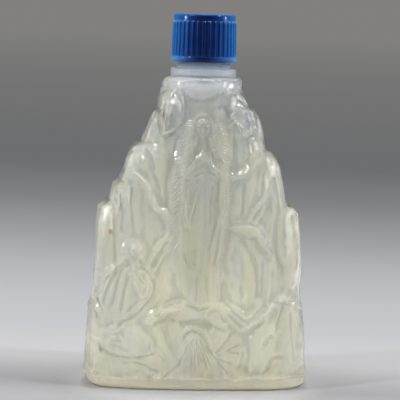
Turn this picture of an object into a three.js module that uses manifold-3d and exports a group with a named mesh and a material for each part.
// A pocket-sized holy water bottle, blow-moulded in milky plastic as a rocky grotto with two
// figures in relief, and its ribbed blue screw cap. Millimetres, +Z up, front towards -Y,
// origin at the middle of the surface that the bottle stands on.

import * as THREE from 'three';
import { mergeVertices } from 'three/addons/utils/BufferGeometryUtils.js';
import Module from 'manifold-3d';

const wasm = await Module();
wasm.setup();

// The moulded body
const FOOT_WIDTH = 75;
const FOOT_DEPTH = 30.8;
const FOOT_HEIGHT = 29;
const FOOT_TAPER = 2;
const FOOT_ROUND = 2.2;
const WALL = 1.2;
const FLOOR = 1.6;
const PUSH_UP = 1;
const STANDING_RING = 3.4;
const CORE_WIDTH = 31;
const CORE_DEPTH = 24.6;
const DOME_START = 92;
const DOME_WIDTH = 30.6;
const DOME_DEPTH = 26;
const SHOULDER_HEIGHT = 104.4;

// The neck finish: a collar that the mould closes on, a bead and the plain root of the thread
const COLLAR_DIAMETER = 22;
const COLLAR_HEIGHT = 2.6;
const NECK_DIAMETER = 16.2;
const THREAD_DIAMETER = 17.8;
const BORE_DIAMETER = 13.4;
const BEAD_HEIGHT = 1.7;
const VISIBLE_NECK = 2.2;

// The screw cap and the sealing disc in it
const CAP_HEIGHT = 15.8;
const CAP_WALL = 1.1;
const CAP_TOP_WALL = 1.5;
const CAP_TAPER = 0.3;
const CAP_BAND = 2;
const CAP_BAND_FLARE = 0.45;
const CAP_CROWN_BAND = 2.2;
const CAP_EDGE_ROUND = 0.8;
const RIB_COUNT = 36;
const RIB_DEPTH = 0.32;
const RIB_WIDTH = 1.05;
const LINER_THICKNESS = 1;

// Clearances
const THREAD_CLEARANCE = 0.25;
const LINER_CLEARANCE = 0.35;
const SEAT_GAP = 0.05;

// Relief on the front, measured outwards from the core
const AUREOLE_WIDTH = 23;
const AUREOLE_HEIGHT = 67;
const AUREOLE_RISE = 0.7;
const FIGURE_RISE = 3.5;
const ROCK_RISE = 3.2;
const FOOT_BAND = 3.6;
const ROCK_ROOT = 8;
const WRAP = 4.2;

// Resolution
const ROCK_SIDES = 20;
const CAVITY_SIDES = 12;
const COLUMN_SIDES = 14;
const TURN_SIDES = 40;
const CAP_SIDES = 2 * RIB_COUNT;

// Where things stand on one another
const coreFront = -CORE_DEPTH / 2;
const collarTop = SHOULDER_HEIGHT + COLLAR_HEIGHT;
const capBottom = collarTop + VISIBLE_NECK;
const capTop = capBottom + CAP_HEIGHT;
const capCeiling = capTop - CAP_TOP_WALL;
const rim = capCeiling - LINER_THICKNESS - 2 * SEAT_GAP;
const capBore = THREAD_DIAMETER + 2 * THREAD_CLEARANCE;

// Merges the shared vertices of a closed geometry and makes a solid of it
function solid(geometry) {
  const bare = geometry.clone();
  bare.deleteAttribute('normal');
  bare.deleteAttribute('uv');
  const merged = mergeVertices(bare, 1e-5);
  return new wasm.Manifold(new wasm.Mesh({
    numProp: 3,
    vertProperties: new Float32Array(merged.attributes.position.array),
    triVerts: new Uint32Array(merged.index.array),
  }));
}

// Turns a solid back into a geometry
function geometryOf(body) {
  const mesh = body.getMesh();
  const geometry = new THREE.BufferGeometry();
  geometry.setAttribute('position', new THREE.BufferAttribute(new Float32Array(mesh.vertProperties), 3));
  geometry.setIndex(new THREE.BufferAttribute(new Uint32Array(mesh.triVerts), 1));
  geometry.computeVertexNormals();
  return geometry;
}

const union = (bodies) => bodies.reduce((all, body) => all.add(body));

// Keeps the outer skin of a union, so that a speck closed off between two rocks is filled
const filled = (body) => body.decompose().reduce((most, piece) => (piece.volume() > most.volume() ? piece : most));

// Revolves [radius, height] rows about Z; the rows start and end on the axis, lowest first
function turned(rows, sides = TURN_SIDES) {
  const profile = rows.map(([radius, height]) => new THREE.Vector2(radius, height));
  return solid(new THREE.LatheGeometry(profile, sides).rotateX(Math.PI / 2));
}

// Stacks ovals { z, left, right, front, back } into one closed form. A power of 2 makes plain
// ellipses and a higher one squarer ovals.
function stacked(rings, { sides = ROCK_SIDES, power = 2 } = {}) {
  const rows = [rings[0], ...rings, rings[rings.length - 1]];
  const profile = rows.map((ring, j) => new THREE.Vector2(j === 0 || j === rows.length - 1 ? 0 : 1, ring.z));
  const geometry = new THREE.LatheGeometry(profile, sides).rotateX(Math.PI / 2);
  const position = geometry.attributes.position;
  for (let k = 0; k < position.count; k++) {
    const { left, right, front, back } = rows[k % rows.length];
    const [x, y] = [position.getX(k), position.getY(k)];
    const reach = (Math.abs(x) ** power + Math.abs(y) ** power) ** (1 / power);
    const grow = reach < 1e-6 ? 0 : Math.hypot(x, y) / reach;
    position.setX(k, (left + right) / 2 + x * grow * (right - left) / 2);
    position.setY(k, (front + back) / 2 + y * grow * (back - front) / 2);
  }
  return solid(geometry);
}

// Draws an oval in by a distance on every side
const drawnIn = (ring, by) => ({
  ...ring, left: ring.left + by, right: ring.right - by, front: ring.front + by, back: ring.back - by,
});

// Rounds the top of a stack of ovals: the last one is repeated, drawn in, up to the given height
function roundedTop(rings, top, round, steps = 3) {
  const last = rings[rings.length - 1];
  const rounding = [];
  for (let k = 1; k <= steps; k++) {
    const angle = (k / steps) * (Math.PI / 2);
    rounding.push({ ...drawnIn(last, round * (1 - Math.cos(angle))), z: top - round + round * Math.sin(angle) });
  }
  return [...rings, ...rounding];
}

// A rock pillar. Its edge away from the middle stands at `edge` at the top and spreads outwards
// by `spread` over `drop`; its front and back stand off the middle and swell by `swell`.
function crag({ side, edge, inner, top, round, spread, drop, front, back, swell }, inset) {
  const rings = [];
  for (const share of [1, 0.6, 0.3, 0]) {
    const out = 1 - (1 - share) ** 1.3;
    const outer = edge + spread * out;
    rings.push(drawnIn({
      z: top - round - share * (drop - round),
      left: side < 0 ? -outer : inner,
      right: side < 0 ? -inner : outer,
      front: -front - swell * out,
      back: back + swell * out,
    }, inset));
  }
  rings.unshift({ ...rings[0], z: inset > 0 ? PUSH_UP + FLOOR : FOOT_ROUND });
  return stacked(roundedTop(rings, top - inset, round), { sides: inset > 0 ? CAVITY_SIDES : ROCK_SIDES, power: 2.8 });
}

// The crags of the grotto, from the neck down to the foot, left side first
const CRAGS = [
  { side: -1, edge: 17.6, inner: 2, top: 93, round: 2.2, spread: 9, drop: 28, front: 11.2, back: 10.6, swell: 1.8 },
  { side: -1, edge: 25, inner: 12, top: 81.8, round: 3, spread: 6.4, drop: 24, front: 11.8, back: 10, swell: 1.6 },
  { side: -1, edge: 29.9, inner: 20, top: 68.6, round: 1.8, spread: 3.2, drop: 14, front: 9.6, back: 9.4, swell: 1.8 },
  { side: -1, edge: 34.3, inner: 22, top: 61.8, round: 2.6, spread: 2.3, drop: 34, front: 11.6, back: 11, swell: 1.6 },
  { side: 1, edge: 18.9, inner: 2, top: 94.4, round: 3.2, spread: 5.6, drop: 24, front: 11.6, back: 10.4, swell: 1.4 },
  { side: 1, edge: 25.8, inner: 12, top: 80.3, round: 3.4, spread: 5, drop: 22, front: 11.2, back: 10.8, swell: 1.8 },
  { side: 1, edge: 32.5, inner: 20, top: 62, round: 2, spread: 2.6, drop: 30, front: 10.8, back: 11.2, swell: 2 },
];

// The foot: an oval tray that narrows upwards to a rounded step
function foot(inset) {
  const [x, y] = [FOOT_WIDTH / 2, FOOT_DEPTH / 2];
  const oval = (z, by) => drawnIn({ z, left: -x, right: x, front: -y, back: y }, by + inset);
  const rings = inset > 0
    ? [oval(PUSH_UP + FLOOR, FOOT_ROUND), oval(PUSH_UP + FLOOR + FOOT_ROUND, 0)]
    : [oval(0, FOOT_ROUND), oval(FOOT_ROUND * 0.3, FOOT_ROUND * 0.3), oval(FOOT_ROUND, 0)];
  rings.push(oval(FOOT_HEIGHT - FOOT_ROUND, FOOT_TAPER));
  return stacked(roundedTop(rings, FOOT_HEIGHT - inset, FOOT_ROUND), {
    sides: inset > 0 ? 2 * CAVITY_SIDES : 2 * ROCK_SIDES, power: 3.4,
  });
}

// The upright middle of the body, with the dome that carries the neck
function core(inset) {
  const [x, y] = [CORE_WIDTH / 2, CORE_DEPTH / 2];
  const [domeX, domeY] = [DOME_WIDTH / 2, DOME_DEPTH / 2];
  const neckShare = COLLAR_DIAMETER / 2 + 0.6;
  const oval = (z, halfX, halfY) => drawnIn({ z, left: -halfX, right: halfX, front: -halfY, back: halfY }, inset);
  const rings = [
    oval(inset > 0 ? PUSH_UP + FLOOR : FOOT_ROUND, x, y),
    oval(DOME_START - 8, x, y),
  ];
  for (let k = 0; k <= 4; k++) {
    const rise = Math.sin((k / 4) * (Math.PI / 2));
    const fall = Math.cos((k / 4) * (Math.PI / 2));
    const z = DOME_START + (SHOULDER_HEIGHT - inset - DOME_START) * rise;
    rings.push(oval(z, neckShare + (domeX - neckShare) * fall, neckShare + (domeY - neckShare) * fall));
  }
  return stacked(rings, { sides: inset > 0 ? 2 * CAVITY_SIDES : 2 * ROCK_SIDES, power: 2.3 });
}

// A ball squeezed to three half sizes and tilted in the front view
function egg([x, y, z], [halfX, halfY, halfZ], tilt = 0) {
  return solid(new THREE.SphereGeometry(1, 14, 9).scale(halfX, halfY, halfZ).rotateY(tilt).translate(x, y, z));
}

// A limb between two points, round and thicker where it starts
function limb(from, to, startRadius, endRadius) {
  const [a, b] = [new THREE.Vector3(...from), new THREE.Vector3(...to)];
  const length = a.distanceTo(b);
  const form = turned([
    [0, -startRadius], [startRadius * 0.75, -startRadius * 0.65], [startRadius, 0],
    [endRadius, length], [endRadius * 0.7, length + endRadius * 0.7], [0, length + endRadius],
  ], 10);
  const turn = new THREE.Quaternion().setFromUnitVectors(new THREE.Vector3(0, 0, 1), b.clone().sub(a).normalize());
  return form.transform(new THREE.Matrix4().compose(a, turn, new THREE.Vector3(1, 1, 1)).toArray());
}

// The standing figure in a long robe and veil, hands joined, in the oval of rays
function standingFigure() {
  const front = coreFront - FIGURE_RISE;
  const back = coreFront + ROCK_ROOT;
  const robe = [
    [28.4, -6.2, 8.8, 0.2], [36, -5.6, 8.2, 0.4], [47, -5.3, 7, 0.5], [58, -5.4, 5.8, 0.5], [66, -6.6, 6, 0.4],
    [71.5, -7.3, 6, 0], [75, -6.7, 5.5, 0.2], [80, -5.4, 4.2, 0.9], [83.4, -4.2, 3, 1.5], [85, -2.4, 1.2, 2.4],
  ].map(([z, left, right, step]) => ({ z, left, right, front: front + step, back }));
  const veil = [
    [83, -3.6, 2.3, 1.6], [86, -4.2, 2.8, 0.5], [89.2, -4, 2.6, 0.3], [91.6, -2.9, 1.5, 1], [92.9, -1.6, 0.2, 2.2],
  ].map(([z, left, right, step]) => ({ z, left, right, front: front + step, back }));
  return [
    stacked(robe, { sides: 18 }),
    stacked(veil, { sides: 14 }),
    limb([-5.6, front + 1.8, 72.8], [-1.4, front + 0.6, 77.6], 1.7, 1.1),
    limb([4.4, front + 1.8, 73], [0.2, front + 0.6, 77.6], 1.7, 1.1),
    limb([-0.6, front + 0.8, 76.4], [-0.6, front + 1, 79.4], 1.2, 0.5),
  ];
}

// The kneeling figure on the left, turned towards the standing one
function kneelingFigure() {
  const front = coreFront - FIGURE_RISE;
  const back = coreFront + ROCK_ROOT;
  const body = [
    [21.4, -35.6, -19.6, 1.6], [24, -36, -18.6, 0.8], [29, -35.2, -18, 0.4], [34, -32, -17.6, 0.4],
    [38.5, -29, -18.2, 0.8], [42.4, -26.4, -19.6, 1.6], [44.4, -24.6, -21, 2.4],
  ].map(([z, left, right, step]) => ({ z, left, right, front: front + step, back }));
  return [
    stacked(body, { sides: 18 }),
    egg([-22.6, coreFront - 1.6, 47], [3.2, 2.8, 3.3], 0.2),
    limb([-22.4, front + 0.9, 40], [-18.6, front + 0.8, 32.4], 1.5, 1.2),
    limb([-18.4, front + 1.2, 32.6], [-17, front + 1.6, 38.4], 1.2, 0.8),
  ];
}

// A column of rock in the relief, rounded at both ends. It stands out from the core by `rise`,
// leans sideways by `lean` and narrows by `taper` from its low end to its top.
function column({ left, right, low, top, rise, round, lean = 0, taper = 3 }) {
  const ring = (z, angle) => {
    const share = (z - low) / (top - low);
    const by = round * (1 - Math.sin(angle)) * 0.8;
    return drawnIn({
      z,
      left: left + lean * share + taper * share / 2,
      right: right + lean * share - taper * share / 2,
      front: coreFront - rise,
      back: coreFront + ROCK_ROOT,
    }, by);
  };
  const angles = [0, Math.PI / 4, Math.PI / 2];
  return stacked([
    ...angles.map((angle) => ring(low + round * (1 - Math.cos(angle)), angle)),
    ...angles.reverse().map((angle) => ring(top - round * (1 - Math.cos(angle)), angle)),
  ], { sides: COLUMN_SIDES, power: 2.2 });
}

// Bends the relief back round the two sides of the body
function wrapped(body) {
  return body.warp((point) => {
    point[1] += WRAP * (Math.abs(point[0]) / (FOOT_WIDTH / 2)) ** 6;
  });
}

// A raised edge of rock through points of the front, thickest in its middle
function ridge({ points, width, rise }) {
  const knots = points.map(([x, z], k) => {
    const radius = (width / 2) * (0.4 + 0.6 * Math.sin(((k + 0.5) / points.length) * Math.PI));
    const ball = solid(new THREE.SphereGeometry(radius, 6, 4).translate(x, coreFront - rise + width / 2, z));
    return wasm.Manifold.hull([ball, ball.translate([0, ROCK_ROOT, 0])]);
  });
  return union(knots.slice(1).map((knot, k) => wasm.Manifold.hull([knots[k], knot])));
}

// Rocks of the front relief, from the lobes that hang over the niche down to the foot
const FRONT_COLUMNS = [
  { left: -15, right: -7.4, low: 84.2, top: 100, rise: 1.7, round: 5, lean: 0.8, taper: -3 },
  { left: 11.2, right: 18.4, low: 84.4, top: 99, rise: 1.7, round: 5, lean: -3.4, taper: -3 },
  { left: -25, right: -11, low: 40, top: 82, rise: 1.3, round: 5, lean: 3 },
  { left: 10, right: 22.4, low: 54, top: 85, rise: 1.3, round: 5, lean: 1 },
  { left: -32.4, right: -19, low: 40, top: 80.6, rise: 1.3, round: 5, lean: 4.8, taper: 4 },
  { left: 18, right: 30.4, low: 40, top: 79, rise: 1.2, round: 5, lean: -2.6, taper: 4 },
  { left: -36, right: -24.4, low: 26, top: 60.6, rise: 1.1, round: 5, lean: 0.3, taper: 2 },
  { left: 18.4, right: 30, low: 22, top: 51, rise: 1.5, round: 5, lean: -1.8 },
  { left: 25, right: 35.6, low: 24, top: 60.8, rise: 1.2, round: 5, lean: -0.8, taper: 2 },
  { left: -20, right: -9, low: 23, top: 53, rise: 1, round: 5, lean: 2.4, taper: 4 },
  { left: -37, right: -12.6, low: 9.6, top: 23, rise: 3.7, round: 5.4 },
  { left: -36.4, right: -16, low: 3.6, top: 13, rise: 3.2, round: 4, lean: 1 },
  { left: 12.6, right: 28.4, low: 3.6, top: 27, rise: 3.4, round: 6, lean: 2.4, taper: 6 },
  { left: 20.4, right: 36.8, low: 3.6, top: 32, rise: 2.9, round: 6, lean: -0.4, taper: 6 },
];

// Plain rock on the back, turned half round from the same kind of column
const BACK_COLUMNS = [
  { left: -9, right: 4, low: 18, top: 90, rise: 1.3, round: 4, lean: 1.6, taper: 5 },
  { left: 4, right: 17, low: 30, top: 79, rise: 1.6, round: 4, lean: -2, taper: 5 },
  { left: -20, right: -7, low: 26, top: 73, rise: 1.5, round: 4, lean: 2, taper: 5 },
  { left: 15, right: 27, low: 22, top: 59, rise: 1.4, round: 4, lean: -2, taper: 4 },
  { left: -30, right: -18, low: 22, top: 55, rise: 1.4, round: 4, lean: 2, taper: 4 },
];

// Edges that stand out: the right hand ledge, the lip under the standing figure on either side,
// the mouth of the spring, the two edges of the cloak, the back of the kneeling figure, the
// hanging lips of the two lobes and the slanting edges of the rocks
const FRONT_RIDGES = [
  { points: [[9, 55.3], [13.4, 55.6], [18.2, 54.2], [21.2, 51], [23.2, 46], [23.4, 42]], width: 3.2, rise: 2.9 },
  { points: [[7.6, 28.6], [11.4, 26.6], [15.6, 23.4], [21, 26.2], [26.8, 30.9]], width: 3, rise: 3.6 },
  { points: [[-17.6, 23], [-13.4, 26], [-8.6, 28], [-4, 28]], width: 2.8, rise: 3.6 },
  { points: [[-5.2, 13.6], [-4.4, 18], [-1.2, 20.4], [1.8, 18.8], [3.6, 15.6], [5.4, 12], [9, 6.4]], width: 2, rise: 3.9 },
  { points: [[-3.2, 89], [-4, 84], [-7, 76.4], [-6.6, 66], [-4.6, 55.6]], width: 1.9, rise: 3.4 },
  { points: [[2, 89], [2.9, 84], [7.2, 75.2], [7.6, 63], [4.4, 41.6]], width: 1.9, rise: 3.4 },
  { points: [[-24.4, 44.4], [-30.8, 39], [-35.2, 31]], width: 1.8, rise: 3.1 },
  { points: [[-15, 92.6], [-13.6, 85.4], [-9.6, 86.8]], width: 1.8, rise: 2.7 },
  { points: [[11.3, 91], [13.4, 85.8], [17.3, 88]], width: 1.8, rise: 2.7 },
  { points: [[-24.4, 73], [-19, 69.4], [-15.6, 61.6], [-11, 58.4]], width: 2, rise: 2.3 },
  { points: [[-10.6, 51.2], [-14.2, 47.6], [-17.6, 40.6]], width: 2, rise: 2.2 },
  { points: [[20, 80], [14.6, 73.4], [8, 71.4]], width: 2, rise: 2.3 },
  { points: [[21.7, 72.6], [20.3, 64.8], [16.2, 57.4]], width: 2, rise: 2.3 },
];

// The ledge that carries the standing figure, and the fan of water that runs from under it
function ledgeAndSpring() {
  const front = coreFront - ROCK_RISE;
  const ledge = [
    [FOOT_BAND, -17, 12.4, 0.9], [8, -16.8, 12, 0.4], [14, -16.5, 12.4, 0.4], [21, -13, 13.2, 0.3], [25.4, -11.6, 11.4, 0],
    [27.6, -9.4, 9.6, 0.5], [28.8, -7.4, 8.6, 1.6],
  ].map(([z, left, right, step]) => ({ z, left, right, front: front + step, back: coreFront + ROCK_ROOT }));
  const fan = [
    [FOOT_BAND, -6.4, 12.4, 0.8], [6, -6, 11, -0.5], [12, -4.6, 6, -0.8], [17, -4, 3, -0.5], [19.6, -2.4, 0.6, 0.6],
  ].map(([z, left, right, step]) => ({ z, left, right, front: front + step, back: coreFront + ROCK_ROOT }));
  return [stacked(ledge, { sides: 20, power: 2.8 }), stacked(fan, { sides: 14, power: 2.2 })];
}

// The raised oval behind the standing figure
function aureole() {
  const outline = new THREE.Shape();
  outline.absellipse(0, 0, AUREOLE_WIDTH / 2, AUREOLE_HEIGHT / 2, 0, 2 * Math.PI);
  const plate = new THREE.ExtrudeGeometry(outline, {
    depth: 2, curveSegments: 18, bevelThickness: AUREOLE_RISE, bevelSize: AUREOLE_RISE, bevelOffset: -AUREOLE_RISE,
    bevelSegments: 1,
  });
  return solid(plate.rotateX(Math.PI / 2).translate(-0.1, coreFront + 2, 61));
}

// Collar, bead and plain neck up to the rim, from inside the dome
function neck() {
  const collar = COLLAR_DIAMETER / 2;
  const bead = THREAD_DIAMETER / 2;
  const root = NECK_DIAMETER / 2;
  return turned([
    [0, SHOULDER_HEIGHT - 2], [collar - 1, SHOULDER_HEIGHT - 2], [collar, SHOULDER_HEIGHT + 0.2],
    [collar, collarTop - 0.4], [collar - 0.4, collarTop], [bead, collarTop],
    [bead, collarTop + BEAD_HEIGHT - 0.5], [root, collarTop + BEAD_HEIGHT],
    [root, rim - 0.5], [root - 0.4, rim], [0, rim],
  ]);
}

// The hollow: the same rocks drawn in by the wall, and the bore of the neck
function hollow() {
  const bore = BORE_DIAMETER / 2;
  return union([
    foot(WALL), core(WALL), ...CRAGS.map((rock) => crag(rock, WALL)),
    turned([[0, DOME_START - 6], [bore, DOME_START - 6], [bore, rim + 1], [0, rim + 1]]),
  ]);
}

// The shallow dish that leaves a flat ring to stand on
function dish() {
  const edge = FOOT_ROUND + STANDING_RING;
  const [x, y] = [FOOT_WIDTH / 2 - edge, FOOT_DEPTH / 2 - edge];
  const oval = (z, by) => drawnIn({ z, left: -x, right: x, front: -y, back: y }, by);
  return stacked([oval(-1, 0), oval(0, 0), oval(PUSH_UP, PUSH_UP)], { sides: 2 * CAVITY_SIDES, power: 3 });
}

// The cap as one revolved profile, with its ribs joined on
function cap() {
  const bore = capBore / 2;
  const foot = bore + CAP_WALL + CAP_TAPER;
  const head = bore + CAP_WALL;
  const shell = turned([
    [0, capTop], [head - CAP_EDGE_ROUND, capTop], [head - CAP_EDGE_ROUND * 0.3, capTop - CAP_EDGE_ROUND * 0.3],
    [head, capTop - CAP_EDGE_ROUND], [foot, capBottom + CAP_BAND], [foot + CAP_BAND_FLARE, capBottom + CAP_BAND - 0.4],
    [foot + CAP_BAND_FLARE, capBottom + 0.3], [foot + CAP_BAND_FLARE - 0.3, capBottom], [bore + 0.3, capBottom],
    [bore, capBottom + 0.3], [bore, capCeiling], [0, capCeiling],
  ].reverse(), CAP_SIDES);

  const ribBottom = capBottom + CAP_BAND - 0.2;
  const ribLength = capTop - CAP_CROWN_BAND - ribBottom;
  const section = new THREE.Shape([
    new THREE.Vector2(-RIB_WIDTH / 2, -CAP_WALL / 2), new THREE.Vector2(RIB_WIDTH / 2, -CAP_WALL / 2),
    new THREE.Vector2(RIB_WIDTH / 2, 0), new THREE.Vector2(RIB_WIDTH / 4, RIB_DEPTH),
    new THREE.Vector2(-RIB_WIDTH / 4, RIB_DEPTH), new THREE.Vector2(-RIB_WIDTH / 2, 0),
  ]);
  const lean = Math.atan2(CAP_TAPER, CAP_HEIGHT - CAP_BAND);
  const rib = new THREE.ExtrudeGeometry(section, { depth: ribLength, bevelEnabled: false })
    .rotateX(lean).translate(0, foot, ribBottom);
  const ribs = [];
  for (let k = 0; k < RIB_COUNT; k++) {
    ribs.push(solid(rib.clone().rotateZ(((k + 0.5) / RIB_COUNT) * 2 * Math.PI)));
  }
  return union([shell, ...ribs]);
}

// The foam disc in the top of the cap, which seals on the rim
function liner() {
  const radius = capBore / 2 - LINER_CLEARANCE;
  const low = rim + SEAT_GAP;
  return turned([
    [0, low], [radius - 0.15, low], [radius, low + 0.15], [radius, low + LINER_THICKNESS - 0.15],
    [radius - 0.15, low + LINER_THICKNESS], [0, low + LINER_THICKNESS],
  ]);
}

const relief = wrapped(union([
  ...FRONT_COLUMNS.map(column), ...FRONT_RIDGES.map(ridge),
  ...ledgeAndSpring(), aureole(), ...standingFigure(), ...kneelingFigure(),
]));
const rocks = filled(union([
  foot(0), core(0), ...CRAGS.map((rock) => crag(rock, 0)), relief,
  ...BACK_COLUMNS.map((rock) => column(rock).rotate([0, 0, 180])), neck(),
]));

const milky = new THREE.MeshStandardMaterial({ color: 0xc9c8b6, roughness: 0.32, metalness: 0 });
const blue = new THREE.MeshStandardMaterial({ color: 0x12489c, roughness: 0.22, metalness: 0 });
const foam = new THREE.MeshStandardMaterial({ color: 0xf0efe8, roughness: 0.85, metalness: 0 });

const bottle = new THREE.Mesh(geometryOf(rocks.subtract(hollow()).subtract(dish())), milky);
bottle.name = 'bottle';

const screwCap = new THREE.Mesh(geometryOf(cap()), blue);
screwCap.name = 'cap';

const sealingDisc = new THREE.Mesh(geometryOf(liner()), foam);
sealingDisc.name = 'liner';

const part = new THREE.Group();
part.add(bottle, screwCap, sealingDisc);

export default part;
